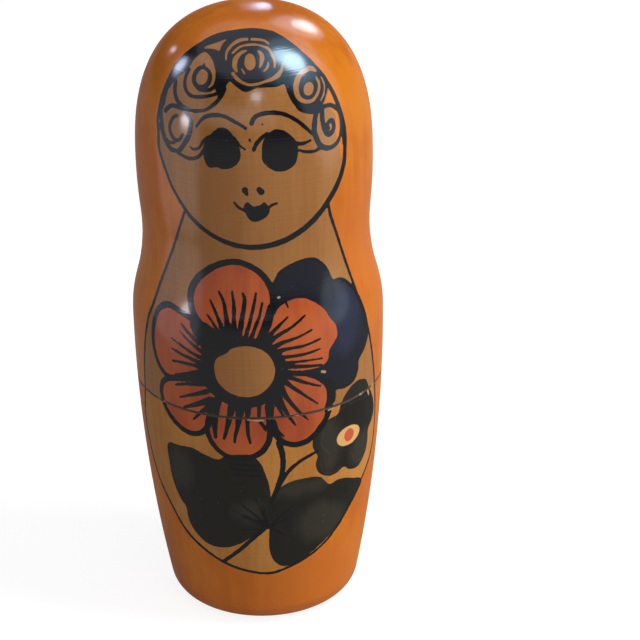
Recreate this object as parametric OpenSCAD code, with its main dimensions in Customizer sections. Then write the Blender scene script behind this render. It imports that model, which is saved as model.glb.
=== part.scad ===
// Turned wooden nesting doll: a set of hollow dolls, each of two halves that
// meet in a spigot and socket, with a solid doll in the middle.
// Every smaller doll repeats the outer one's sizes at the ratio that lets it
// stand inside the next larger doll.

/* [Outline of the outer doll] */
// Height of the closed doll
doll_h = 170; // [155:1:200]
// Diameter at the widest point of the belly
belly_d = 68; // [60:0.5:80]
// Height of the widest point of the belly
belly_z = 86; // [78:1:94]
// How far the neck lies inside the belly, on the radius
shoulder_step = 3.5; // [2.4:0.1:5]
// How far the head stands out from the neck, on the radius
head_swell = 1; // [0.5:0.1:2]
// Radius of the long curve from the foot to the belly
body_arc_r = 415; // [320:5:520]
// Radius of the outward curve of the shoulder
shoulder_arc_r = 36; // [28:1:48]
// Radius of the inward curve of the neck
neck_arc_r = 50; // [40:1:60]
// Radius of the outward curve of the side of the head
head_arc_r = 150; // [100:1:180]
// Fullness of the crown: 2 is an ellipse, and more is squarer
crown_power = 2.5; // [2:0.1:3]
// Radius of the rounded edge of the foot
foot_round = 8; // [5:0.5:10]

/* [Walls of the outer doll] */
// Thickness of the wall of the lower half
wall = 4.6; // [3.6:0.1:6]
// Thickness of the wall at the neck
neck_wall = 3.6; // [3:0.1:5]
// Thickness of the floor that the next doll stands on
floor_t = 10; // [7:0.5:13]
// Thickness of the wood at the crown
crown_t = 9; // [6:0.5:12]
// Radius of the corner between the floor and the wall
floor_round = 3.5; // [2:0.5:5]

/* [Join of the outer doll] */
// Height of the join between the two halves
join_z = 67.4; // [58:0.2:76]
// Thickness of the spigot that stands up from the lower half
spigot_t = 2.2; // [1.6:0.1:2.8]
// Height of the spigot
spigot_h = 10; // [7:0.5:13]
// Space left between the top of the spigot and the end of the socket
socket_end_gap = 0.8; // [0.4:0.1:1.6]
// Clearance between spigot and socket on the radius, alike on every doll
fit_gap = 0.05; // [0.02:0.01:0.1]
// Broken edge on each side of the join line
join_chamfer = 0.3; // [0.1:0.05:0.5]
// Chamfer that leads the spigot into the socket
lead_in = 0.7; // [0.3:0.1:1.2]

/* [Nest] */
// Number of dolls in the set, with the solid one
dolls = 7; // [3:1:8]
// Space round the belly and head of the next doll, on the radius
nest_gap = 1.2; // [0.8:0.1:2]
// Space above the crown of the next doll
headroom = 12.5; // [9:0.5:16]

/* [Colours] */
// Dye of the outer dolls
dye_colour = "#d2772a"; // color
// Dye of the solid doll in the middle
seed_colour = "#d98a35"; // color

/* [Hidden] */
// Steps along the side, the crown and each rounded corner
side_steps = 26;
crown_steps = 22;
corner_steps = 8;

belly_r = belly_d / 2;
neck_r = belly_r - shoulder_step;
head_r = neck_r + head_swell;

// The side is a chain of arcs that touch with a common tangent, so the height
// of each arc follows from the radii. Two arcs that bend opposite ways touch
// where their centres lie the sum of their radii apart.
function rise(step, r_a, r_b) = sqrt(pow(r_a + r_b, 2) - pow(r_a + r_b - step, 2));
neck_z = belly_z + rise(shoulder_step, shoulder_arc_r, neck_arc_r);
head_z = neck_z + rise(head_swell, neck_arc_r, head_arc_r);
shoulder_end_z = belly_z + (neck_z - belly_z) * shoulder_arc_r / (shoulder_arc_r + neck_arc_r);
neck_end_z = neck_z + (head_z - neck_z) * neck_arc_r / (neck_arc_r + head_arc_r);

// The rounded foot touches the ground and the inside of the body's arc.
body_centre_r = belly_r - body_arc_r;
foot_centre_r = body_centre_r
    + sqrt(pow(body_arc_r - foot_round, 2) - pow(belly_z - foot_round, 2));
foot_tilt = asin((belly_z - foot_round) / (body_arc_r - foot_round));
foot_top_z = foot_round * (1 - sin(foot_tilt));

// How far an arc of radius r has bent away from its tangent at distance d
function sag(r, d) = r - sqrt(r * r - d * d);

// Radius of the outside at height z, from the top of the foot to the head line
function side_r(z) =
    z <= belly_z ? belly_r - sag(body_arc_r, belly_z - z) :
    z <= shoulder_end_z ? belly_r - sag(shoulder_arc_r, z - belly_z) :
    z <= neck_end_z ? neck_r + sag(neck_arc_r, z - neck_z) :
    head_r - sag(head_arc_r, head_z - z);

// Points up the side between two heights
function side(z_from, z_to) = [
    for (i = [0 : side_steps])
    let (z = z_from + (z_to - z_from) * i / side_steps)
    [side_r(z), z]
];

// A quarter of a superellipse, from just above [r, z] up to the axis at the height z + h
function crown(r, z, h) = [
    for (i = [1 : crown_steps])
    let (a = 90 * i / crown_steps)
    [r * pow(cos(a), 2 / crown_power), z + h * pow(sin(a), 2 / crown_power)]
];
function without_first(points) = [for (i = [1 : len(points) - 1]) points[i]];
function reversed(points) = [for (i = [len(points) - 1 : -1 : 0]) points[i]];

foot = [
    for (i = [0 : corner_steps])
    let (a = (90 - foot_tilt) * i / corner_steps - 90)
    [foot_centre_r + foot_round * cos(a), foot_round + foot_round * sin(a)]
];

// Bores of the outer doll: the mouth, the throat at the neck and the socket
mouth_r = side_r(join_z) - wall;
throat_r = neck_r - neck_wall;
spigot_r = mouth_r + spigot_t;
spigot_top_z = join_z + spigot_h;
socket_top_z = spigot_top_z + socket_end_gap;
bore_top_z = doll_h - crown_t;

// Size of each doll compared with the next larger one, across and upwards
nest_ratio = min((mouth_r - nest_gap) / belly_r, (throat_r - nest_gap) / head_r);
rise_ratio = (doll_h - floor_t - crown_t - headroom) / doll_h;
function across(n) = pow(nest_ratio, n - 1);
function upwards(n) = pow(rise_ratio, n - 1);

// Height of the ground that doll n stands on
function stand_z(n) = n == 1 ? 0 : stand_z(n - 1) + floor_t * upwards(n - 1);

// The outer doll's points brought to the size and place of doll n, with any
// clearance added after the scaling
function placed(points, n, clearance = 0) = [
    for (p = points) [p.x * across(n) + clearance, stand_z(n) + p.y * upwards(n)]
];

lower_outside = concat(
    [[0, 0]],
    foot,
    without_first(side(foot_top_z, join_z - join_chamfer)),
    [[side_r(join_z) - join_chamfer, join_z]]
);
spigot = [
    [spigot_r, join_z],
    [spigot_r, spigot_top_z - lead_in],
    [spigot_r - lead_in, spigot_top_z],
    [mouth_r, spigot_top_z]
];

// The wall runs down parallel to the outside and turns into the floor
floor_corner_z = floor_t + floor_round;
floor_corner_r = side_r(floor_corner_z) - wall - floor_round;
lower_bore = concat(
    [for (p = side(join_z, floor_corner_z)) [p.x - wall, p.y]],
    [
        for (i = [1 : corner_steps])
        let (a = -90 * i / corner_steps)
        [floor_corner_r + floor_round * cos(a), floor_corner_z + floor_round * sin(a)]
    ],
    [[0, floor_t]]
);

upper_outside = concat(
    [[side_r(join_z) - join_chamfer, join_z]],
    side(join_z + join_chamfer, head_z),
    crown(head_r, head_z, doll_h - head_z)
);

// The bore narrows all the way up, so that the next doll's head can pass
upper_bore = concat(
    reversed(crown(throat_r, head_z, bore_top_z - head_z)),
    [[throat_r, head_z], [throat_r, neck_z], [mouth_r, socket_top_z]]
);
socket = [[spigot_r, socket_top_z], [spigot_r, join_z]];

module lower_half(n) {
    color(dye_colour)
    rotate_extrude()
    polygon(placed(concat(lower_outside, spigot, lower_bore), n));
}

module upper_half(n) {
    color(dye_colour)
    rotate_extrude()
    polygon(concat(
        placed(upper_outside, n),
        placed(upper_bore, n),
        placed(socket, n, fit_gap)
    ));
}

module solid_doll(n) {
    color(seed_colour)
    rotate_extrude()
    polygon(placed(concat(
        [[0, 0]],
        foot,
        without_first(side(foot_top_z, head_z)),
        crown(head_r, head_z, doll_h - head_z)
    ), n));
}

function lower_name(n) = str("doll_", n, "_lower_half");
function upper_name(n) = str("doll_", n, "_upper_half");
function solid_name(n) = str("doll_", n, "_solid");

for (n = [1 : dolls - 1]) {
    lower_half(n);
    upper_half(n);
}
solid_doll(dolls);
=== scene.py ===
import math

import bpy
import numpy as np
from mathutils import Matrix, Vector


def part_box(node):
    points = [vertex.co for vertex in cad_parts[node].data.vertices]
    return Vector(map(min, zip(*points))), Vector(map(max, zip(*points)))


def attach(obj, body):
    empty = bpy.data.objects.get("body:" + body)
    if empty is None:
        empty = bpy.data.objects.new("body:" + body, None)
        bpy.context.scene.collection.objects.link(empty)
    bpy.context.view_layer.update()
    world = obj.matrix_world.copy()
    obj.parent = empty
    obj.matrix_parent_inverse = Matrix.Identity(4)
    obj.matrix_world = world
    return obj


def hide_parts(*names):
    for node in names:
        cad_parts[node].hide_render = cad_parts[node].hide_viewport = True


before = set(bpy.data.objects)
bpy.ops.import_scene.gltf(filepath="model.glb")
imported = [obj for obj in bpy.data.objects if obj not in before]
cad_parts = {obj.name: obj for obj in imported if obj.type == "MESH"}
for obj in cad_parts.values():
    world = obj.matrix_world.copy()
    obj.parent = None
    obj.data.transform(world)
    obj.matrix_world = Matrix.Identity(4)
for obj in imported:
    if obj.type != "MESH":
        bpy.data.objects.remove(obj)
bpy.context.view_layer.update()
print("frame loaded:", len(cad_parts), "nodes")

mm = 0.001
dollCount = len(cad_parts) // 2 + 1      # two halves for each hollow doll, and the solid one
outerLow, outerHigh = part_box("doll_1_lower_half"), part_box("doll_1_upper_half")

# Outer doll in millimetres. Arcs that touch make the side from foot to head,
# and a superellipse makes the crown.
dollShape = {
    "height": outerHigh[1].z / mm,
    "bellyRadius": outerHigh[1].x / mm,
    "bellyHeight": 86.0,
    "shoulderStep": 3.5,      # how far the neck lies inside the belly
    "headSwell": 1.0,         # how far the head stands out from the neck
    "bodyArc": 415.0,
    "shoulderArc": 36.0,
    "neckArc": 50.0,
    "headArc": 150.0,
    "crownPower": 2.5,
    "footRound": 8.0,
}
dollWalls = {
    "wall": 4.6,
    "neckWall": 3.6,
    "floor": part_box("doll_2_lower_half")[0].z / mm,
    "crown": 9.0,
    "floorRound": 3.5,
}
dollJoin = {
    "height": outerHigh[0].z / mm,
    "spigotTop": outerLow[1].z / mm,
    "spigotThickness": 2.2,
    "socketEndGap": 0.8,
    "fitGap": 0.05,           # on the radius, alike on every doll
    "chamfer": 0.3,
    "leadIn": 0.7,
}


def arcRise(step, arcA, arcB):
    # height over which two touching arcs that bend opposite ways cover a sideways step
    return math.sqrt((arcA + arcB) ** 2 - (arcA + arcB - step) ** 2)


def arcSag(radius, distance):
    # how far an arc has bent away from its tangent at a distance along it
    return radius - np.sqrt(np.maximum(radius ** 2 - distance ** 2, 0))


neckRadius = dollShape["bellyRadius"] - dollShape["shoulderStep"]
headRadius = neckRadius + dollShape["headSwell"]
neckHeight = dollShape["bellyHeight"] + arcRise(
    dollShape["shoulderStep"], dollShape["shoulderArc"], dollShape["neckArc"])
headHeight = neckHeight + arcRise(dollShape["headSwell"], dollShape["neckArc"], dollShape["headArc"])


def outsideRadius(z):
    # radius at height z: body, shoulder, neck and head arcs in turn, then the superellipse of the crown
    s = dollShape
    shoulderEnd = s["bellyHeight"] + (neckHeight - s["bellyHeight"]) * s["shoulderArc"] / (
        s["shoulderArc"] + s["neckArc"])
    neckEnd = neckHeight + (headHeight - neckHeight) * s["neckArc"] / (s["neckArc"] + s["headArc"])
    body = s["bellyRadius"] - arcSag(s["bodyArc"], s["bellyHeight"] - z)
    shoulder = s["bellyRadius"] - arcSag(s["shoulderArc"], z - s["bellyHeight"])
    neck = neckRadius + arcSag(s["neckArc"], z - neckHeight)
    head = headRadius - arcSag(s["headArc"], headHeight - z)
    share = np.clip((z - headHeight) / (s["height"] - headHeight), 0, 1)
    crown = headRadius * (1 - share ** s["crownPower"]) ** (1 / s["crownPower"])
    return np.select([z <= s["bellyHeight"], z <= shoulderEnd, z <= neckEnd, z <= headHeight],
                     [body, shoulder, neck, head], crown)


def crownLine(radius, z, height, steps=160):
    # quarter superellipse from (radius, z) to the axis: cosine and sine raised to two over the power
    a = np.linspace(0, np.pi / 2, steps)
    power = 2 / dollShape["crownPower"]
    across = radius * np.abs(np.cos(a)) ** power * (a < a[-1])      # the last point is on the axis
    return np.stack([across, z + height * np.sin(a) ** power], axis=1)


def sideLine(zFrom, zTo, steps=200):
    # the outside between two heights: its radius at even steps of z
    z = np.linspace(zFrom, zTo, steps)
    return np.stack([outsideRadius(z), z], axis=1)


def footLine(steps=24):
    # the foot's rounded edge: an arc that touches the ground and the inside of the body's arc
    s = dollShape
    tilt = math.asin((s["bellyHeight"] - s["footRound"]) / (s["bodyArc"] - s["footRound"]))
    centre = s["bellyRadius"] - s["bodyArc"] + (s["bodyArc"] - s["footRound"]) * math.cos(tilt)
    a = np.linspace(-np.pi / 2, -tilt, steps)
    return np.stack([centre + s["footRound"] * np.cos(a), s["footRound"] * (1 + np.sin(a))], axis=1)


def lengthsAlong(points):
    # running length of a line from its first point
    return np.concatenate([[0], np.cumsum(np.hypot(*np.diff(points, axis=0).T))])


# Painted pattern

farAway = 3.0          # millimetres past which a distance no longer matters
tiny = 1e-6            # keeps divisions and comparisons off zero
edgeShare = 0.999      # keeps the pattern just inside the doll's outline
meridianSteps = 3000
meridianHeights = dollShape["height"] * np.sin(np.linspace(0, np.pi / 2, meridianSteps))
meridianLengths = lengthsAlong(np.stack([outsideRadius(meridianHeights), meridianHeights], axis=1))


def onSkin(points):
    # front view (x, z) to the doll's skin: length round the girth from the front line, length up the side
    points = np.asarray(points, float)
    radius = np.maximum(outsideRadius(points[:, 1]), tiny)
    girth = radius * np.arcsin(np.clip(points[:, 0] / radius, -edgeShare, edgeShare))
    return np.stack([girth, np.interp(points[:, 1], meridianHeights, meridianLengths)], axis=1)


def handLine(points, closed=False, steps=7):
    # curve through the given points: a cubic between each two, sloped there as their neighbours lie
    p = np.asarray(points, float)
    ring = np.concatenate([p[-1:], p, p[:2]]) if closed else np.concatenate(
        [2 * p[:1] - p[1:2], p, 2 * p[-1:] - p[-2:-1]])
    a, b, c, d = (ring[i:len(ring) - 3 + i, None, :] for i in range(4))
    t = (np.arange(steps) / steps)[None, :, None]
    curve = 0.5 * (2 * b + (c - a) * t + (2 * a - 5 * b + 4 * c - d) * t ** 2
                   + (3 * b - a - 3 * c + d) * t ** 3)
    curve = curve.reshape(-1, 2)
    return curve if closed else np.concatenate([curve, p[-1:]])


def ovalLine(centre, radii, steps=56):
    # points round an oval: cosine and sine of even angles times its two radii
    a = np.radians(360 * np.linspace(0, 1, steps + 1))
    return np.stack([centre[0] + radii[0] * np.cos(a), centre[1] + radii[1] * np.sin(a)], axis=1)


def nearLine(skin, line):
    # which points lie in the line's box, made larger by the farthest distance that matters
    return np.all((skin > line.min(axis=0) - farAway) & (skin < line.max(axis=0) + farAway), axis=1)


def legGap(p, a, b):
    # share along the leg from a to b of the point nearest to p, and the distance to it
    leg = b - a
    t = np.clip((p - a) @ leg / max(leg @ leg, tiny), 0, 1)
    return t, np.hypot(p[:, 0] - a[0] - t * leg[0], p[:, 1] - a[1] - t * leg[1])


def strokeDistance(skin, line, halfWidths):
    # distance to a brush stroke: to its nearest leg, less the brush's half width there
    line = onSkin(line)
    given = np.atleast_1d(halfWidths)
    width = np.interp(np.linspace(0, 1, len(line)), np.linspace(0, 1, len(given)), given)
    near = nearLine(skin, line)
    gap = np.full(near.sum(), farAway)
    for a, b, widthA, widthB in zip(line[:-1], line[1:], width[:-1], width[1:]):
        t, reach = legGap(skin[near], a, b)
        gap = np.minimum(gap, reach - widthA - t * (widthB - widthA))
    out = np.full(len(skin), farAway)
    out[near] = gap
    return out


def patchDistance(skin, line):
    # signed distance to a closed outline, negative where a level ray crosses it an odd number of times
    line = onSkin(line)
    near = nearLine(skin, line)
    p = skin[near]
    gap = np.full(len(p), farAway)
    inside = np.zeros(len(p), bool)
    for a, b in zip(line, np.roll(line, -1, axis=0)):
        gap = np.minimum(gap, legGap(p, a, b)[1])
        if a[1] != b[1]:
            crosses = (a[1] > p[:, 1]) != (b[1] > p[:, 1])
            inside ^= crosses & (p[:, 0] < a[0] + (p[:, 1] - a[1]) * (b[0] - a[0]) / (b[1] - a[1]))
    out = np.full(len(skin), farAway)
    out[near] = np.where(inside, -gap, gap)
    return out


# All points of the pattern are (x, z) on the outer doll seen level from the front, in millimetres
facePattern = {
    "outline": [
        (-24.5, 142.8), (-24.5, 139.7), (-24.2, 137.4), (-23, 133.7), (-20.9, 128.4), (-15.9, 121.2),
        (-8.7, 116.5), (-0.5, 114.9), (7.7, 116.5), (15.1, 121), (20.7, 128), (22.9, 133.5),
        (23.3, 137.7), (23.3, 142.1), (22.7, 145.8), (21.5, 150), (19.8, 153.8), (17.7, 157.4),
        (14.9, 160.6), (11.4, 163.8), (8, 166.1), (4.5, 167.5), (-0.4, 168), (-6.1, 167.4),
        (-10.2, 166.2), (-13.9, 164.2), (-16.9, 162), (-19.6, 159.1), (-21.4, 156), (-23, 152.3),
        (-23.8, 149.5), (-24.5, 146.2)],
    "brush": (
        0.6, 0.55, 0.5, 0.7, 0.85, 0.85, 0.75, 0.75, 0.6, 0.45, 0.4, 0.4, 0.4, 0.45, 0.5, 0.55, 0.6),
    # the kerchief's dye ran over the edge of the face here
    "dyeAtTemple": [
        (19.6, 153.6), (18.6, 150.9), (19.8, 148.8), (21, 146.8), (20.8, 144.2), (21.1, 141.6),
        (21.8, 139), (22.4, 135.6), (24.9, 134.4), (25.1, 143), (23.1, 150.3), (20.8, 154.1)],
    "eyes": [
        [(-12.9, 140), (-12.7, 142.4), (-11, 145.2), (-8.6, 147), (-6.3, 146.5), (-4.7, 144.2),
         (-3.6, 141.5), (-3.7, 139), (-5.5, 137), (-8, 136.4), (-9.6, 136.8), (-11.5, 136.5),
         (-12.6, 138)],
        [(1.9, 140), (2.1, 143), (3.3, 145.4), (5.4, 146.5), (7.7, 146), (9.6, 144.4), (10.9, 142.4),
         (11.1, 139.5), (10.3, 137.1), (8.3, 135.7), (5.8, 135.6), (3.4, 136.9), (2.1, 138.5)],
    ],
    "lips": [
        (-2.9, 126.9), (-2.1, 127.7), (-1.3, 127.1), (-0.6, 126.5), (0.3, 126.6), (1.2, 126.8),
        (2, 127.6), (2.9, 127), (3.6, 125.4), (3, 123.8), (1.5, 122.7), (0, 122.2), (-1.4, 122.6),
        (-2.4, 124), (-2.9, 125.5)],
    # brush lines: points, then half widths from one end to the other
    "lines": [
        ([(-14.6, 146.6), (-12.4, 149.2), (-9.5, 150), (-7, 149.7), (-4.5, 148.5), (-2, 147.1)],
         (0.35, 0.58, 0.52, 0.42)),
        ([(-0.5, 148.3), (0.3, 149.7), (2.2, 150.5), (5, 150.6), (8, 149.9), (11, 148), (13.5, 145.6),
          (14.7, 144.2)], (0.62, 0.56, 0.52, 0.42)),
        ([(-5.2, 144.6), (-3.6, 142.8), (-2.3, 141.7)], (0.5, 0.35, 0.3)),
        ([(-0.1, 141.6), (0.6, 143.1), (1.9, 144.6), (3.4, 145.6)], (0.5, 0.6, 0.5)),
        ([(-16.2, 141.2), (-15.4, 140.7), (-13.9, 141.4), (-13, 143), (-11.5, 144.4)],
         (0.3, 0.4, 0.4, 0.5)),
        ([(-19.5, 139), (-16.8, 138.1), (-14.3, 138.9), (-12.8, 141)], (0.5, 0.5, 0.4)),
        ([(9.5, 143.2), (11.2, 142.2), (12.8, 142.1), (14.3, 142.5)], (0.5, 0.5, 0.4)),
        ([(10.5, 141), (12.5, 140), (15, 139.5), (17.2, 140)], (0.3, 0.4, 0.5)),
        ([(-2.6, 131), (-2.5, 130.6), (-2, 129.5)], (0.85, 0.7, 0.3)),
        ([(1, 131.1), (1.5, 130.4)], (0.75, 0.85)),
        ([(-5.4, 127.5), (-4.4, 126.2), (-2.6, 125.2)], (0.35, 0.42, 0.4)),
        ([(5.4, 127), (4, 126.5), (2.6, 125.4)], (0.35, 0.42, 0.4)),
        ([(2.2, 148), (2.35, 147.8)], (0.3, 0.25)),
        ([(-1.1, 144.3), (-1, 143.8)], (0.3, 0.25)),
    ],
}
hairPattern = {
    # dark mass along the top of the face, with the wood left bare in it and dark strokes over both
    "mass": [
        (-24.7, 145.1), (-23.5, 148), (-22.5, 150.1), (-22.1, 152), (-21.4, 153.9), (-20.2, 155.6),
        (-19, 157.1), (-17.5, 158.3), (-16.5, 159.3), (-15.5, 160.5), (-14.4, 161.8), (-13.3, 162.7),
        (-12.1, 163.4), (-11.1, 163.2), (-10.2, 162.3), (-9.5, 160.9), (-9.3, 159.4), (-9.5, 157.9),
        (-9.8, 156.7), (-9.2, 155.5), (-8.7, 154.5), (-7.9, 154.9), (-7.2, 156), (-6.2, 157.5),
        (-5.6, 157.9), (-4.3, 157), (-3, 156.1), (-1.9, 155.7), (-0.3, 156), (1.1, 156.5), (3.9, 156.5),
        (6, 156.5), (7.7, 156.9), (8.3, 156.5), (8.7, 154.9), (9.4, 153.4), (10.3, 151.9), (11.8, 150.1),
        (13.9, 149.1), (15.4, 148.9), (16.6, 149.5), (17.5, 150.3), (18.3, 151.5), (18.9, 152.9),
        (19.3, 154.1), (20.1, 152.7), (21.1, 150.5), (21.8, 148.5), (22.3, 145.9), (22.6, 142.8),
        (22.8, 138.9), (24.8, 138.5), (24.8, 143), (23.8, 149), (21.5, 154.5), (18.5, 159.5),
        (15, 163.3), (11, 166.3), (6, 168.5), (0, 169), (-6, 168.6), (-12, 167.3), (-17.5, 164),
        (-21, 160), (-23.5, 155), (-25, 150), (-25.5, 145)],
    "barePatch": [
        (-6.4, 166.2), (-7.3, 165.4), (-7.9, 164.6), (-8.2, 164), (-9.4, 164.2), (-10.8, 164.2),
        (-12.1, 164.1), (-10.6, 164.9), (-8.5, 165.6)],
    "bareOvals": [((-0.5, 162.1), (1.4, 1.7)), ((14.2, 154.9), (1.3, 1.5))],
    "bareStrokes": [
        ([(-6.5, 162.5), (-6.4, 163.7), (-5.6, 164.8), (-4.3, 165.7), (-2.5, 166.3), (-0.4, 166.4),
          (1.7, 166.3), (3.3, 166), (4.4, 165.4)], (0.28, 0.3, 0.38, 0.5, 0.55, 0.45, 0.45, 0.42, 0.25)),
        ([(-4.9, 163.8), (-3, 165), (-0.9, 165.4), (1.2, 165.4), (3, 165), (4.4, 164.4), (5.2, 163.2),
          (5.8, 161.9), (5.7, 160.7)], (0.26, 0.32, 0.34, 0.34, 0.34, 0.36, 0.42, 0.42, 0.25)),
        ([(-3.9, 160.2), (-4.4, 161.2), (-4.3, 162.3), (-3.6, 163.3), (-2.3, 164.1), (-1.4, 164.3)],
         (0.3, 0.6, 0.62, 0.58, 0.4, 0.25)),
        ([(1.7, 164.2), (2.4, 163.6), (2.6, 162.7), (2.3, 161.6), (1.9, 160.9)],
         (0.3, 0.5, 0.58, 0.4, 0.22)),
        ([(3, 160.2), (3.9, 160.9), (4.2, 161.9)], (0.25, 0.36, 0.25)),
        ([(-2.6, 160.7), (-2, 159.8)], 0.26),
        ([(-4.9, 159.7), (-4.1, 158.8), (-2.8, 157.9), (-0.9, 157.3), (1.1, 157.4), (3.2, 157.9),
          (5.3, 158.4), (6.7, 159.2), (7.5, 160.2), (7.7, 161.2)],
         (0.42, 0.48, 0.44, 0.34, 0.32, 0.36, 0.52, 0.62, 0.42, 0.25)),
        ([(16.2, 158.6), (14.5, 159.3), (12.9, 158.8), (11.6, 157.8), (11, 156), (11.2, 154.3),
          (12, 152.9), (13.6, 152.1), (15.1, 152.1), (16.3, 153.1), (16.9, 154.5), (16.8, 155.9),
          (16.2, 157)], (0.5, 0.7, 0.75, 0.8, 0.8, 0.7, 0.55, 0.48, 0.42, 0.42, 0.44, 0.38, 0.25)),
        ([(17.4, 157.1), (18.1, 155.5), (18.3, 154.2), (18, 152.8), (17.3, 151.7)], 0.26),
    ],
    "darkStrokes": [
        ([(-19.5, 156), (-19.8, 154.5), (-19.7, 153), (-19.2, 151.9), (-18.2, 151), (-17, 150.5),
          (-15.4, 150.3), (-13.5, 150.5), (-11.8, 151.1), (-10.2, 152.2), (-8.8, 153.5), (-7.8, 155),
          (-7.1, 156.2)], (0.65, 0.72, 0.6, 0.48, 0.44, 0.5, 0.6)),
        ([(-16, 159.4), (-16.8, 158), (-17.2, 156.2), (-17, 155), (-16.4, 154.1), (-15.5, 153.7),
          (-13.9, 153.7), (-12, 154.1), (-10.4, 154.5), (-9, 155.1)], (0.5, 0.55, 0.48, 0.45)),
        ([(-12.1, 161.2), (-12.2, 160.5), (-13.4, 160), (-14.4, 159), (-14.8, 157.8), (-14.6, 156.6),
          (-13.6, 156), (-12.3, 156.2), (-11.2, 157.2), (-10.7, 158.5), (-11, 159.7), (-12.1, 160.4)],
         (0.25, 0.55, 0.6, 0.65, 0.7, 0.7, 0.62, 0.6, 0.58, 0.55)),
        ([(-14.7, 156.9), (-14, 155.7), (-12.9, 155.4), (-11.5, 155.5), (-10.3, 156), (-9.6, 156.7)],
         0.44),
        ([(-22.5, 148.6), (-21.6, 149.7), (-20.5, 150.4), (-19.2, 150.4), (-17.7, 150), (-16.5, 149),
          (-15.9, 147.5), (-16.1, 145.6), (-16.6, 143.9), (-17.2, 142.6), (-18.1, 141.1),
          (-19.1, 139.6)], (0.6, 0.55, 0.55, 0.72, 0.75, 0.6)),
        ([(-23.6, 147.8), (-23.5, 145.3), (-23.4, 143.7), (-22.9, 142), (-22.1, 140.3), (-21.1, 139.4),
          (-19.8, 139.3), (-19.1, 138.8)], (0.75, 0.85, 0.8, 0.68, 0.5)),
        ([(-19.3, 148.4), (-20.3, 147.7), (-21.1, 146.3), (-21.4, 145), (-21.2, 143.6), (-20.6, 142.5),
          (-19.7, 142.1), (-18.7, 142.8), (-18.1, 144)], (0.42, 0.58, 0.56, 0.46)),
        ([(-22.4, 141.7), (-21.5, 141.1), (-20.3, 141.3)], 0.4),
        ([(16.7, 149.7), (15.9, 148.5), (15.5, 146.6), (15.4, 144.6), (15.9, 142.8), (16.8, 140.8),
          (18.3, 139.6), (19.9, 139.4), (21.4, 140.2), (22.1, 141.7), (22.4, 143.6), (22.3, 145.6),
          (21.9, 147.5), (20.9, 149), (19.6, 149.9), (18.3, 150), (17.3, 149.8)],
         (0.6, 0.82, 0.8, 0.72, 0.6, 0.5, 0.52, 0.56, 0.56)),
        ([(17.5, 149.8), (17.5, 147.6), (17.8, 145.6), (18.4, 143.6), (19.3, 142.9), (20.2, 143.4),
          (20.5, 144.8), (20, 146), (19.2, 146), (18.8, 145.3), (19.2, 144.3)],
         (0.75, 0.75, 0.7, 0.62, 0.5)),
        ([(-0.5, 166.9), (-0.5, 166.2)], 0.3),
    ],
}
apronPattern = {
    "outline": [
        (-18.3, 123.2), (-19.7, 118.6), (-21.6, 112), (-24, 105), (-27, 96.3), (-29.4, 89.1),
        (-30.7, 79), (-31.1, 66.8), (-31.2, 56), (-28.8, 42.7), (-25, 34.4), (-20, 26.7), (-10.8, 20.6),
        (-0.5, 17.9), (5.8, 19.1), (14.6, 23.4), (20.8, 29.6), (26.9, 39.5), (29.9, 46.2), (31, 56),
        (30.9, 67.5), (30.2, 77.5), (28.6, 88.2), (25.9, 97.1), (23.2, 106), (21.2, 113.5),
        (19.3, 120.6), (17.6, 126), (9, 130), (-9, 130), (-16.9, 127.6)],
    "brush": (0.4, 0.45, 0.5, 0.5, 0.45, 0.45, 0.42, 0.38, 0.42, 0.45, 0.45, 0.45, 0.45, 0.5, 0.35),
}
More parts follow.
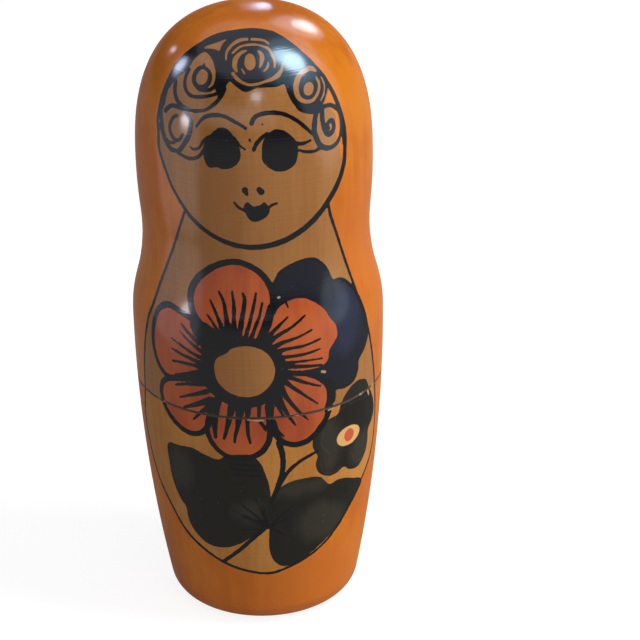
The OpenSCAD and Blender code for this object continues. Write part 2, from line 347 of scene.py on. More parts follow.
flowerPattern = {
    "disc": [
        (-11.9, 81), (-11.2, 84.4), (-8.6, 86.1), (-7.3, 87.5), (-4, 88.4), (-0.5, 87.9), (2.2, 86),
        (3.7, 83), (3.9, 80.3), (2.8, 77.4), (0.5, 75), (-2.5, 73.8), (-5.5, 73.9), (-8.5, 75),
        (-10.9, 77.4)],
    "ring": ((-4.2, 80.7), (11.5, 10.2)),
    # each petal: the brush that goes round it, its outline from base to base, its rays from base to tip
    "petals": {
        "top": {
            "brush": (0.9, 1.05, 1.05, 0.9, 0.85, 0.85, 0.8, 0.8),
            "outline": [
                (-13, 91), (-16.4, 94.8), (-17.6, 98), (-17.2, 101.8), (-15, 105.6), (-11, 109),
                (-6.5, 110.7), (-2.5, 109.9), (1.2, 107.2), (3.3, 103.5), (3.9, 99.5), (2.9, 95),
                (1, 90.5)],
            "rays": [
                ([(-9.3, 89.3), (-11.6, 93.6), (-13.4, 96)], (0.6, 0.4, 0.28)),
                ([(-8.3, 89.6), (-10.9, 96.3), (-12.5, 99.9)], (0.85, 0.45, 0.3)),
                ([(-7.7, 89.6), (-8.4, 96), (-8.9, 99.5), (-10.1, 102.3)], (1.1, 0.65, 0.5, 0.33)),
                ([(-6.5, 89.6), (-6.4, 95), (-6.3, 99), (-6.7, 102.6)], (1, 0.6, 0.5, 0.35)),
                ([(-5.5, 89.6), (-4, 97), (-3.5, 100.5), (-3.9, 102.2)], (0.9, 0.6, 0.55, 0.38)),
                ([(-3.9, 89.6), (-2.4, 94.5), (-1.3, 98.5), (-0.5, 102.3)], (0.7, 0.5, 0.45, 0.33)),
                ([(-2.5, 89.3), (-0.9, 93.5), (0.3, 96.5), (1, 99.6)], (0.7, 0.5, 0.4, 0.3)),
                ([(-0.6, 89), (1.7, 94.9), (2.9, 99)], (0.7, 0.6, 0.35)),
            ],
        },
        "right": {
            "brush": None,
            "outline": [
                (1.5, 91), (3.6, 94.8), (5, 97.8), (7.6, 99.5), (11, 99.9), (14, 98.6), (17, 96),
                (18.8, 93), (20.3, 90.6), (20.5, 87.9), (19.5, 86), (18.3, 84.2), (18, 82), (16.6, 80.6),
                (13, 80.2), (6, 81.5)],
            "rays": [
                ([(0.8, 89.2), (4.4, 92.8), (7.6, 95.6)], (0.9, 0.5, 0.28)),
                ([(1, 88), (4.5, 90.8), (8.5, 92.8), (12.1, 95.3)], (1.1, 0.6, 0.42, 0.3)),
                ([(2, 86.8), (5.6, 88.8), (10, 89.9), (13.8, 91.2)], (1.1, 0.6, 0.42, 0.3)),
                ([(3.4, 85.8), (6.5, 87), (11.5, 87.3), (16.1, 88.3)], (1, 0.55, 0.42, 0.3)),
                ([(5, 85), (6.5, 84.8), (12, 84.9), (16, 85.5)], (0.8, 0.55, 0.42, 0.3)),
                ([(6, 83.3), (9, 83.1), (12, 82.9), (16.5, 82.6)], (0.5, 0.4, 0.35, 0.3)),
                ([(6, 82.2), (9.5, 81.7), (12.5, 81.2), (16.3, 80.7)], (0.8, 0.6, 0.55, 0.35)),
                ([(6.9, 99.8), (7.4, 98.8), (7.8, 97.9)], (0.45, 0.3, 0.25)),
            ],
        },
        "lowerRight": {
            "brush": (0.7, 0.8, 0.85, 0.9, 0.9, 0.85, 0.75),
            "outline": [
                (2, 71), (2.6, 66), (3.6, 62.6), (5.5, 60), (8.6, 58.6), (12, 59), (15, 61.3),
                (17.3, 64.6), (18.5, 69), (18.2, 73.2), (16.3, 76.4), (12.5, 79), (6, 80.5)],
            "rays": [
                ([(6.5, 79.4), (8, 78.7), (12.5, 76.3), (15.9, 74.6)], (0.7, 0.6, 0.45, 0.3)),
                ([(6.5, 77.8), (7.5, 76.8), (11.5, 73), (15.1, 69.6)], (0.8, 0.65, 0.45, 0.28)),
                ([(5.5, 76), (7, 72.8), (9.5, 69), (12.4, 65.5)], (0.9, 0.65, 0.5, 0.3)),
                ([(4.3, 75.5), (5.3, 72), (7.3, 67.5), (9, 64.5)], (1, 0.75, 0.5, 0.3)),
                ([(3.6, 73.5), (4.6, 70.5), (5.8, 67.8)], (0.8, 0.55, 0.35)),
                ([(3.5, 66.5), (4.4, 63.5), (6, 61.5)], (0.45, 0.35, 0.28)),
            ],
        },
        "bottom": {
            "brush": (0.85, 0.8, 0.75, 0.75, 0.85, 0.85, 0.85, 0.8),
            "outline": [
                (-12, 71), (-13.8, 66.5), (-14.3, 62.8), (-13.4, 59.5), (-11.5, 57), (-8.8, 55.4),
                (-5, 55.2), (-1.8, 56), (0.6, 58), (2.1, 61.2), (2.2, 65), (1.8, 71)],
            "rays": [
                ([(-11.4, 72), (-12, 68), (-12.3, 64), (-12.2, 61)], (1.2, 0.95, 0.8, 0.55)),
                ([(-7.4, 71.5), (-8.4, 67), (-9.2, 63.5), (-9.9, 60.8)], (1.2, 0.8, 0.6, 0.45)),
                ([(-5.2, 71.5), (-6.2, 65), (-6.9, 62), (-7.1, 60)], (1.4, 0.65, 0.5, 0.4)),
                ([(-3.3, 71.5), (-3.6, 66), (-3.5, 62.5), (-3, 59.9)], (0.9, 0.6, 0.5, 0.4)),
                ([(-0.4, 71.5), (-0.5, 67.2), (0.6, 65), (1.2, 63.6)], (0.6, 0.45, 0.5, 0.35)),
            ],
        },
        "lowerLeft": {
            "brush": (0.75, 0.8, 0.8, 0.8, 0.8, 0.8, 0.85),
            "outline": [
                (-15, 77.5), (-20, 76.6), (-24.6, 74.8), (-26.3, 71.8), (-26.1, 68), (-24.6, 64.5),
                (-22, 61.8), (-19, 60.6), (-16.2, 61.4), (-14.2, 63.8), (-13.2, 67), (-12, 71)],
            "rays": [
                ([(-14.5, 76.3), (-19.5, 75.2), (-22.4, 74)], (0.6, 0.48, 0.35)),
                ([(-14, 74.3), (-18.3, 72.3), (-21.3, 70.7)], (0.8, 0.48, 0.3)),
                ([(-13.5, 71.8), (-18, 69.3), (-20.3, 68)], (1.1, 0.62, 0.38)),
                ([(-13, 70.5), (-16.3, 67.2), (-17.9, 65.1)], (0.9, 0.5, 0.32)),
            ],
        },
        "left": {
            "brush": (0.9, 0.85, 0.85, 0.8, 0.75, 0.75, 0.75),
            "outline": [
                (-13, 91), (-16.6, 93.6), (-20, 95.1), (-23.3, 96), (-25.8, 94.4), (-27.3, 91),
                (-28, 87), (-28, 83), (-27.3, 79.5), (-26, 76.9), (-24, 75.7), (-21, 76.9), (-15, 79.5)],
            "rays": [
                ([(-15.8, 88), (-18.5, 90.3), (-20.3, 92.2)], (0.7, 0.5, 0.33)),
                ([(-14.8, 85.4), (-18.6, 88.2), (-20.7, 90.1)], (0.6, 0.4, 0.3)),
                ([(-14.6, 83.7), (-17.5, 84.7), (-20.5, 86.2), (-23, 87.4)], (0.7, 0.5, 0.42, 0.3)),
                ([(-14.6, 82.2), (-16.5, 82.6), (-20.2, 83.6), (-23, 84.4)], (0.8, 0.6, 0.45, 0.3)),
                ([(-15, 81.2), (-17.5, 81.3), (-20.8, 81.2), (-23, 80.9)], (0.7, 0.5, 0.45, 0.35)),
                ([(-15, 79.7), (-18.5, 78.6), (-22.3, 77)], (0.7, 0.6, 0.4)),
            ],
        },
    },
    # dark fillings between the petals
    "fills": [
        [(-17.2, 95), (-15.5, 94.2), (-13.2, 93.6), (-11.3, 92), (-9.6, 90), (-11.5, 87.4), (-14.6, 86),
         (-15.8, 88.6), (-17.2, 90.6), (-18, 92.8)],
        [(-22.6, 76.4), (-20, 77.9), (-17.5, 79.7), (-15, 80.4), (-14.3, 77.8), (-17.5, 77.1),
         (-21, 76)],
        [(-14.6, 70.2), (-13.4, 66), (-12.4, 66.5), (-11.2, 71), (-13, 73)],
        [(1.6, 74), (1.9, 66), (2.3, 61.5), (3.3, 62.5), (3.2, 66.5), (3.6, 73)],
        [(17.4, 76.5), (17.5, 70.5), (16.8, 67.2), (17.7, 65.4), (18.6, 67.8), (19.8, 69), (20, 72.6),
         (19.5, 75)],
    ],
}
darkFlower = {
    "outline": [
        (3.6, 99), (4, 103.8), (5, 106), (6.2, 107.7), (9.5, 109.3), (13.5, 109.9), (16, 108.6),
        (18, 106), (19, 103.4), (19.7, 102.2), (21.8, 101.9), (24, 99.8), (26, 96.5), (27.8, 92),
        (28.8, 87), (28.8, 83.5), (27.8, 80.5), (26.2, 78.2), (26, 75.5), (24.8, 72.8), (22.3, 72.1),
        (20, 72.6), (18, 74), (14, 78), (8, 84)],
    # where the brush left less colour, and lighter and bluer there as a painted sheen
    "thin": ((22.8, 91), (4.2, 9.5)),
    # the part of the outline that the brush went over again
    "rim": slice(1, 22),
    "brush": 0.45,
    "crease": ([(18.6, 102.6), (19.5, 100), (19.9, 98)], (0.45, 0.4, 0.3)),
}
buttonFlower = {
    "outline": [
        (13.5, 57.5), (13.9, 60.5), (15.4, 63.3), (18.4, 64.1), (20.4, 64.6), (21.2, 66.8), (22.4, 69.4),
        (24.4, 71.4), (26.4, 72), (28.4, 70.7), (29.2, 67.8), (30.2, 64.3), (30.7, 60), (30.2, 57),
        (29, 54.5), (28.8, 51), (28, 47.5), (26, 45), (23.6, 45.6), (22, 47.3), (20, 46.4), (17.5, 46.4),
        (15.2, 48.2), (14.3, 51), (14.8, 53.5), (14, 55.5)],
    "eye": ((23.3, 56.6), (3.2, 2.9)),
    "pupil": ((23.5, 56.7), (1.35, 1.9)),
    # thin pale lines between its petals
    "lines": [
        ([(15.5, 51.4), (16.6, 47.8), (19.5, 47), (21.3, 48.2)], 0.3),
        ([(24.1, 50.7), (25.4, 47), (27.2, 46.6)], 0.3),
        ([(16.5, 60.5), (15.9, 56.9), (18.2, 53)], 0.3),
        ([(22.6, 66.2), (20.8, 65.2), (19.7, 63.9)], 0.3),
        ([(23.6, 66.3), (26, 66.1), (28.6, 65.6)], 0.32),
    ],
}
leafPattern = {
    "leaves": [
        [(-25.2, 54.6), (-22, 55.6), (-18.5, 56.1), (-15.5, 55.1), (-12, 54.1), (-9.5, 55.6), (-6, 56.3),
         (-2.5, 56), (-0.4, 53.5), (0.9, 50), (1.8, 46), (2.1, 42), (1.9, 38), (1, 34), (-2, 31.2),
         (-6, 28), (-10, 26), (-14, 25.6), (-17, 27), (-19.5, 30), (-20.6, 33.5), (-20.9, 36),
         (-22.5, 38.5), (-24.2, 43), (-25.1, 49)],
        [(1.8, 40.5), (4.3, 45.4), (8, 47.3), (12, 47.6), (15.5, 46.8), (17.9, 43.7), (20.5, 44.1),
         (23.5, 42.8), (27.1, 39.4), (24.5, 34.5), (21, 30), (17, 26), (12, 22.3), (8, 20.2), (5, 19.9),
         (2.5, 22), (1.4, 26), (1.4, 31), (1.6, 36)],
    ],
    "thin": [
        ((-22, 48.5), (2.4, 6)),
        ((-4, 38.5), (3.2, 3)),
        ((10, 44.8), (7, 2.2)),
        ((15.5, 32.5), (6, 6)),
        ((18, 56), (3, 8)),
        ((26.8, 50.5), (2.5, 5)),
    ],
    "veins": [
        ([(1, 33.4), (-2.5, 37.5), (-7.5, 41.9)], (0.45, 0.3, 0.18)),
        ([(1, 33.4), (-3.5, 36.2), (-8.3, 38.6)], (0.45, 0.3, 0.18)),
        ([(1, 33.3), (-2.5, 35.2), (-5.7, 36.8)], (0.4, 0.34, 0.28)),
        ([(1, 33.2), (-2.5, 32.7), (-5.8, 32.3)], (0.4, 0.34, 0.28)),
        ([(1.2, 33.6), (0.6, 37), (-0.2, 40.6)], (0.4, 0.28, 0.18)),
        ([(1.1, 33.6), (-0.4, 38), (-2.2, 43)], (0.4, 0.28, 0.18)),
        ([(1.5, 33.2), (4, 34.6), (7.1, 35.8)], (0.4, 0.28, 0.18)),
        ([(1.5, 33.4), (4.6, 36.6), (8.5, 39.6)], (0.4, 0.28, 0.18)),
        ([(1.5, 33), (3.4, 31.8), (5.7, 30.3)], (0.4, 0.34, 0.28)),
        ([(-8.5, 53.4), (-0.7, 53)], 0.45),
        ([(-8.2, 51.7), (-0.6, 51.3)], 0.45),
        ([(-7.6, 50.1), (-0.6, 49.7)], 0.38),
    ],
    "stems": [
        ([(4.6, 59.6), (5.5, 55.5), (5.4, 51.5), (4.3, 47), (2.2, 41.4)], (0.85, 0.75, 0.65)),
        ([(14.8, 55.2), (10.2, 53.2), (7, 50.6), (5, 47.5), (3.8, 44.5)], (0.45, 0.6, 0.5)),
        ([(1.4, 34), (-3, 29.6), (-7, 25.2), (-11.3, 20.9)], (0.65, 0.6, 0.55)),
    ],
}
# small losses of paint, most of them beside the join
chipPattern = [
    ([(-3.6, 67), (-1.4, 66.8), (0.5, 66.8)], (0.2, 0.3, 0.25)),
    ([(28.9, 67), (29.2, 65.4)], (0.45, 0.35)),
    ([(17.9, 66.8), (19.8, 67)], 0.28),
    ([(5.2, 100.8), (5.6, 100.8)], 0.3),
    ([(16.3, 78.8), (17.2, 78.4)], 0.35),
]


def without(field, hole):
    # distance to an area with another taken out: the larger of the one and minus the other
    return np.maximum(field, -hole)


def joined(fields):
    # distance to several areas: the smallest of theirs
    return np.minimum.reduce(list(fields))


def paintDistances(skin):
    # signed distance in millimetres to each painted area, negative inside it
    def oval(shape):
        return patchDistance(skin, ovalLine(*shape))

    def patch(points):
        return patchDistance(skin, handLine(points, closed=True))

    def stroke(points, brush):
        return strokeDistance(skin, handLine(points), brush)

    def rim(pattern):
        # the brush carried once round an outline
        return stroke(pattern["outline"] + pattern["outline"][:1], pattern["brush"])

    face = patch(facePattern["outline"])
    apron = patch(apronPattern["outline"])
    disc = patch(flowerPattern["disc"])
    petals = flowerPattern["petals"].values()

    bare = [stroke(*line) for line in hairPattern["bareStrokes"]]
    bare += [oval(shape) for shape in hairPattern["bareOvals"]]
    bare += [patch(hairPattern["barePatch"])]
    hair = without(patch(hairPattern["mass"]), joined(bare))
    hair = joined([hair] + [stroke(*line) for line in hairPattern["darkStrokes"]])

    ink = [np.maximum(hair, face), rim(facePattern), without(rim(apronPattern), face),
           without(oval(flowerPattern["ring"]), disc),
           stroke(darkFlower["outline"][darkFlower["rim"]], darkFlower["brush"]),
           stroke(*darkFlower["crease"])]
    ink += [patch(points) for points in facePattern["eyes"] + [facePattern["lips"]]]
    ink += [stroke(*line) for line in facePattern["lines"] + leafPattern["stems"] + leafPattern["veins"]]
    ink += [without(stroke(p["outline"], p["brush"]), disc) for p in petals if p["brush"]]
    ink += [without(stroke(*ray), disc) for p in petals for ray in p["rays"]]
    ink += [patch(points) for points in flowerPattern["fills"]]

    eye = oval(buttonFlower["eye"])
    leaves = leafPattern["leaves"] + [buttonFlower["outline"]]
    return {
        "bareWood": without(np.minimum(face, apron), patch(facePattern["dyeAtTemple"])),
        "redPetal": without(joined(patch(p["outline"]) for p in petals), disc),
        "blueFlower": patch(darkFlower["outline"]),
        "thinBlueAndSheen": oval(darkFlower["thin"]),
        "thinGreen": joined(oval(shape) for shape in leafPattern["thin"]),
        "paleLine": joined(stroke(*line) for line in buttonFlower["lines"]),
        "greenLeaf": joined(patch(points) for points in leaves),
        "yellowEye": eye,
        "redPupil": oval(buttonFlower["pupil"]),
        "chipped": joined(stroke(*line) for line in chipPattern),
        "ink": without(joined(ink), eye),
    }


# Turned forms: a profile from pole to pole carried round the axis

meshFineness = {
    # millimetres on the outer doll between rows, and between columns of the painted front
    "outer": {"front": 0.42, "crown": 1.0, "bore": 1.9, "edge": 1.0, "backColumns": 58},
    "inner": {"front": 0.6, "crown": 1.4, "bore": 3.0, "edge": 1.0, "backColumns": 44},
    "frontDegrees": 76.0,
    "crownStart": 168.4,      # the pattern ends about here
    "sharpDegrees": 32.0,
}


def spaced(line, pitch):
    # the same line at nearly even steps, with both ends kept
    length = lengthsAlong(line)
    at = np.linspace(0, length[-1], max(2, int(round(length[-1] / pitch)) + 1))
    return np.stack([np.interp(at, length, line[:, 0]), np.interp(at, length, line[:, 1])], axis=1)


finishOrder = {"painted": 0, "bare": 1, "joinEdge": 2}


def profileOf(sections):
    # sections of (line, pitch, finish) end to end: points, the finish of each row of faces,
    # which rows of points carry paint, and lengths along the profile
    points, finish = [], []
    for line, pitch, kind in sections:
        step = spaced(np.asarray(line, float), pitch)
        step = step[1:] if points else step
        finish.append(np.full(len(step) if points else len(step) - 1, finishOrder[kind]))
        points.append(step)
    points, finish = np.concatenate(points), np.concatenate(finish)
    coloured = finish == finishOrder["painted"]
    painted = np.concatenate([coloured[:1], coloured]) | np.concatenate([coloured, coloured[-1:]])
    return {"points": points, "finish": finish, "painted": painted, "length": lengthsAlong(points)}


joinRadius = float(outsideRadius(np.array(dollJoin["height"])))
mouthRadius = joinRadius - dollWalls["wall"]
spigotRadius = mouthRadius + dollJoin["spigotThickness"]
socketTop = dollJoin["spigotTop"] + dollJoin["socketEndGap"]
throatRadius = neckRadius - dollWalls["neckWall"]
joinCorner = (joinRadius - dollJoin["chamfer"], dollJoin["height"])


def bareLegs(points, pitch):
    # straight sections of bare wood from point to point
    return [([a, b], pitch, "bare") for a, b in zip(points[:-1], points[1:])]


def lowerProfile(fineness, cornerSteps=9):
    # foot, side up to the join, spigot, then down the bore to the middle of the floor
    foot = footLine()
    join, top, lead = dollJoin["height"], dollJoin["spigotTop"], dollJoin["leadIn"]
    cornerHeight = dollWalls["floor"] + dollWalls["floorRound"]
    bore = sideLine(join, cornerHeight) - [dollWalls["wall"], 0]
    cornerRadius = bore[-1, 0] - dollWalls["floorRound"]
    a = np.linspace(0, -np.pi / 2, cornerSteps)
    corner = np.stack([cornerRadius + dollWalls["floorRound"] * np.cos(a),
                       cornerHeight + dollWalls["floorRound"] * np.sin(a)], axis=1)
    side = np.vstack([foot, sideLine(foot[-1, 1], join - dollJoin["chamfer"])[1:]])
    spigot = [(spigotRadius, join), (spigotRadius, top - lead), (spigotRadius - lead, top),
              (mouthRadius, top), bore[0]]
    sections = [([(0, 0), foot[0]], fineness["bore"], "painted"), (side, fineness["front"], "painted"),
                ([side[-1], joinCorner], fineness["edge"], "joinEdge")]
    sections += bareLegs([joinCorner, spigot[0]], fineness["edge"])
    sections += bareLegs(spigot, fineness["bore"])
    sections += [(bore, fineness["bore"], "bare"), (corner, fineness["edge"], "bare")]
    sections += bareLegs([corner[-1], (0, dollWalls["floor"])], fineness["bore"])
    return profileOf(sections)


def upperProfile(fineness):
    # from the top of the bore down to the socket, round the join, then up the outside to the crown
    join = dollJoin["height"]
    boreTop = dollShape["height"] - dollWalls["crown"]
    bore = crownLine(throatRadius, headHeight, boreTop - headHeight)[::-1]
    socket = spigotRadius + dollJoin["fitGap"]
    inside = [(throatRadius, headHeight), (throatRadius, neckHeight), (mouthRadius, socketTop),
              (socket, socketTop), (socket, join), joinCorner]
    side = sideLine(join + dollJoin["chamfer"], headHeight)
    crown = crownLine(headRadius, headHeight, dollShape["height"] - headHeight)
    patterned = crown[:, 1] <= meshFineness["crownStart"]
    face, top = crown[patterned], crown[~patterned]
    sections = [(bore, fineness["bore"], "bare")] + bareLegs(inside, fineness["bore"])
    sections += [([joinCorner, side[0]], fineness["edge"], "joinEdge"),
                 (np.vstack([side, face[1:]]), fineness["front"], "painted"),
                 (np.vstack([face[-1:], top]), fineness["crown"], "painted")]
    return profileOf(sections)


def solidProfile(fineness):
    # foot, side and crown in one
    foot = footLine()
    crown = crownLine(headRadius, headHeight, dollShape["height"] - headHeight)
    side = np.vstack([foot, sideLine(foot[-1, 1], headHeight)[1:], crown[1:]])
    return profileOf([([(0, 0), foot[0]], fineness["bore"], "painted"),
                      (side, fineness["front"], "painted")])


def columnAngles(fineness):
    # angles round the axis from the front, close together over the painted front and wide apart behind
    front = math.radians(meshFineness["frontDegrees"])
    count = int(round(2 * front * dollShape["bellyRadius"] / fineness["front"]))
    behind = np.linspace(front, 2 * np.pi - front, fineness["backColumns"] + 1)
    return np.concatenate([np.linspace(-front, front, count + 1), behind[1:-1]])


def turnedForm(profile, fineness):
    # the profile with its columns and its paint, still at the outer doll's size
    angles = columnAngles(fineness)
    z = profile["points"][:, 1]
    facing = np.abs(angles) <= math.radians(meshFineness["frontDegrees"]) + tiny
    rows, columns = np.nonzero(profile["painted"][:, None] & facing[None, :])
    girth = outsideRadius(z[rows]) * angles[columns]
    skin = np.stack([girth, np.interp(z[rows], meridianHeights, meridianLengths)], axis=1)
    paint = {}
    for name, distance in paintDistances(skin).items():
        paint[name] = np.full((len(z), len(angles)), farAway)
        paint[name][rows, columns] = distance
    joinGap = np.clip(np.abs(z - dollJoin["height"]) - dollJoin["chamfer"], 0, farAway)
    paint["joinGap"] = np.repeat(joinGap[:, None], len(angles), axis=1)
    return {**profile, "angles": angles, "paint": paint}


def turnedMesh(name, form, across, upwards, stand, materials):
    # x is r sin(angle), y is minus r cos(angle): rows follow the profile, columns go round,
    # and each pole is one vertex
    r = form["points"][:, 0] * across * mm
    z = stand + form["points"][:, 1] * upwards * mm
    angles, rows, columns = form["angles"], len(r) - 2, len(form["angles"])
    grid = np.stack([np.outer(r, np.sin(angles)), -np.outer(r, np.cos(angles)),
                     np.repeat(z[:, None], columns, axis=1)], axis=2)
    points = np.concatenate([[[0, 0, z[0]]], grid[1:-1].reshape(-1, 3), [[0, 0, z[-1]]]])
    ring = 1 + np.arange(rows * columns).reshape(rows, columns)
    after = np.roll(ring, -1, axis=1)
    last = len(points) - 1
    quads = np.stack([ring[:-1], after[:-1], after[1:], ring[1:]], axis=2).reshape(-1, 4)
    firstFan = np.stack([np.zeros(columns, int), after[0], ring[0]], axis=1)
    lastFan = np.stack([ring[-1], after[-1], np.full(columns, last)], axis=1)

    mesh = bpy.data.meshes.new(name)
    mesh.from_pydata(points.tolist(), [], firstFan.tolist() + quads.tolist() + lastFan.tolist())
    for material in materials:
        mesh.materials.append(material)
    mesh.polygons.foreach_set("material_index", np.repeat(form["finish"], columns).astype(np.int32))
    lengths = np.repeat(form["length"][:, None], columns, axis=1)
    for key, values in {**form["paint"], "turnedLength": lengths}.items():
        flat = np.concatenate([values[0, :1], values[1:-1].ravel(), values[-1, :1]])
        mesh.attributes.new(key, "FLOAT", "POINT").data.foreach_set("value", flat.astype(np.float32))
    addGridMap(mesh, rows, columns)
    mesh.shade_smooth()
    mesh.set_sharp_from_angle(angle=math.radians(meshFineness["sharpDegrees"]))
    return mesh


def addGridMap(mesh, rows, columns, margin=0.004):
    # baking map that follows the grid, so that the close rows and columns of the painted front
    # get most of it
    u = np.arange(columns)
    spread = 1 - 2 * margin

    def corner(column, row):
        across, upwards = np.broadcast_arrays(column / columns, row / (rows + 1))
        return margin + spread * np.stack([across, upwards], axis=-1)

    firstFan = np.stack([corner(u + 0.5, 0), corner(u + 1, 1), corner(u, 1)], axis=1)
    row, column = np.meshgrid(np.arange(1, rows), u, indexing="ij")
    quads = np.stack([corner(column, row), corner(column + 1, row), corner(column + 1, row + 1),
                      corner(column, row + 1)], axis=2)
    lastFan = np.stack([corner(u, rows), corner(u + 1, rows), corner(u + 0.5, rows + 1)], axis=1)
    places = np.concatenate([firstFan.reshape(-1, 2), quads.reshape(-1, 2), lastFan.reshape(-1, 2)])
    mesh.uv_layers.new(name="OFBake").uv.foreach_set("vector", places.astype(np.float32).ravel())


# Finishes, with colours as linear red, green, blue and alpha

woodFinish = {
    # each half is turned from its own wood: light and dark tones; the lower half's tones are also made
    # lighter as painted light, for light that falls brighter on the lower body
    "upper": ((0.39, 0.165, 0.044, 1), (0.325, 0.128, 0.029, 1)),
    "lower": ((0.55, 0.236, 0.050, 1), (0.46, 0.178, 0.031, 1)),
    "dye": (0.66, 0.196, 0.012, 1),
    "dyeDeep": (0.55, 0.133, 0.006, 1),
    "dyeRed": (0.62, 0.157, 0.016, 1),
    "petal": (0.53, 0.113, 0.027, 1),
    "petalDeep": (0.37, 0.064, 0.020, 1),
    "blue": (0.005, 0.0055, 0.013, 1),
    # the blue flower's thin colour: thin paint, and lighter and bluer as a painted sheen
    "blueThinAndSheen": (0.016, 0.020, 0.046, 1),
    "green": (0.010, 0.008, 0.004, 1),
    "greenThin": (0.030, 0.027, 0.017, 1),
    "yellow": (0.74, 0.42, 0.16, 1),
    "red": (0.58, 0.11, 0.04, 1),
    "ink": (0.003, 0.003, 0.004, 1),
    "worn": (0.16, 0.14, 0.13, 1),
    "grime": (0.06, 0.03, 0.015, 1),
    "chip": (0.50, 0.29, 0.17, 1),
    "inside": (0.60, 0.40, 0.21, 1),
    "insideDark": (0.48, 0.29, 0.14, 1),
    "lacquer": {"upper": 0.14, "lower": 0.10},
    "lacquerIor": 2.0,
    "lacquerRoughness": 0.16,
}
woodTexture = {
    # each noise: stretch along x, y and z, then scale, detail and roughness
    "bands": ((1, 1, 0.05), 58.0, 2.0, 0.5),
    "fibres": ((1, 1, 0.035), 800.0, 3.0, 0.6),
    "clouds": ((1, 1, 1), 38.0, 3.0, 0.5),
    "streaks": ((1, 1, 0.12), 260.0, 3.0, 0.6),
    "redness": ((1, 1, 1), 24.0, 2.0, 0.5),
    "brushEdge": ((1, 1, 1), 520.0, 2.0, 0.5),
    "flecks": ((1, 1, 1), 950.0, 1.0, 0.5),
    "chips": ((1, 1, 1), 330.0, 3.0, 0.65),
    "rubbing": ((1, 1, 1), 210.0, 3.0, 0.6),
    "bandShare": 0.6,          # the rest of the grain is fibres
    "marksPerLength": 1.9,     # turning marks along a millimetre of the outer doll's profile
    "marksDetail": 2.0,
}


def feed(tree, node, inputs):
    # each input linked from a socket or given a value
    for key, value in inputs.items():
        if isinstance(value, bpy.types.NodeSocket):
            tree.links.new(value, node.inputs[key])
        else:
            node.inputs[key].default_value = value


def addNode(tree, kind, inputs, **settings):
    # a node with its settings and inputs
    made = tree.nodes.new(kind)
    for key, value in settings.items():
        setattr(made, key, value)
    feed(tree, made, inputs)
    return made


def maths(tree, operation, a, b=0.0, c=0.0):
    # a sum of up to three values
    return addNode(tree, "ShaderNodeMath", {0: a, 1: b, 2: c}, operation=operation).outputs[0]


def blend(tree, a, b, share):
    # a times its share plus b times the rest
    return maths(tree, "ADD", maths(tree, "MULTIPLY", a, share), maths(tree, "MULTIPLY", b, 1 - share))


def attribute(tree, name):
    # a value that the mesh holds at each point
    return addNode(tree, "ShaderNodeAttribute", {}, attribute_name=name).outputs["Fac"]


def noise(tree, name):
    # one of the wood's noises, on object coordinates stretched along the axes
    stretch, scale, detail, rough = woodTexture[name]
    coordinates = addNode(tree, "ShaderNodeTexCoord", {}).outputs["Object"]
    where = addNode(tree, "ShaderNodeMapping", {"Vector": coordinates, "Scale": stretch}).outputs[0]
    inputs = {"Vector": where, "Scale": scale, "Detail": detail, "Roughness": rough}
    return addNode(tree, "ShaderNodeTexNoise", inputs).outputs["Fac"]


def ramp(tree, value, low, high, toLow=0.0, toHigh=1.0):
    # smooth step from toLow at low to toHigh at high
    inputs = {"Value": value, "From Min": low, "From Max": high, "To Min": toLow, "To Max": toHigh}
    return addNode(tree, "ShaderNodeMapRange", inputs, interpolation_type="SMOOTHSTEP").outputs[0]


def layer(tree, share, under, over):
    # one colour over another, as far as its share says
    return addNode(tree, "ShaderNodeMix", {0: share, 6: under, 7: over}, data_type="RGBA").outputs[2]


def woodGrain(tree):
    # broad bands and fine fibres along the axis
    return blend(tree, noise(tree, "bands"), noise(tree, "fibres"), woodTexture["bandShare"])


def turningMarks(tree):
    # fine ridges round the axis: noise that changes only along the profile
    where = maths(tree, "MULTIPLY", attribute(tree, "turnedLength"), woodTexture["marksPerLength"])
    inputs = {"W": where, "Scale": 1.0, "Detail": woodTexture["marksDetail"]}
    return addNode(tree, "ShaderNodeTexNoise", inputs, noise_dimensions="1D").outputs["Fac"]


def newMaterial(name):
    # a material with its node tree and its shader
    material = bpy.data.materials.new(name)
    material.use_nodes = True
    tree = material.node_tree
    return material, tree, tree.nodes["Principled BSDF"]


paintLook = {
    # smooth steps: from, to, and what they give at both ends where that isn't 0 and 1
    "woodSteps": (0.40, 0.60),
    "dyeSteps": (0.6, 1.0),
    "redSteps": (0.48, 0.62, 0.0, 0.8),
    "dyeInGrain": (0.48, 0.38, 0.0, 0.3),
    "petalSteps": (0.55, 0.95),
    "thinBlueAndSheen": (2.6, -3.2),
    "thinGreen": (2.8, -2.2),
    "fleckSteps": (0.77, 0.81, 0.0, 0.35),
    "chipSteps": (0.1, -0.1),
    "grimeSteps": (0.2, 0.0, 0.0, 0.7),
    "roughness": (0.38, 0.62, 0.6, 0.44),
    # how much one thing counts beside another
    "grainInTone": 0.83,
    "marksInRidges": 0.7,
    "streaksInDye": 0.6,
    "streaksInPetal": 0.5,
    "streaksInThin": 4.0,
    "paleLine": 0.07,
    # millimetres on the outer doll
    "thinReach": 2.0,
    "wobble": 0.34,
    "softEdge": 0.07,
    "softerEdges": {"bareWood": 0.12, "redPupil": 0.15},
    "chipNoise": (5.0, -3.1),      # how far from the join a chip reaches: times the noise, then added
    # shader
    "bump": {"Strength": 0.07, "Distance": 0.0004},
    "specular": 0.0,               # the lacquer alone shines
}


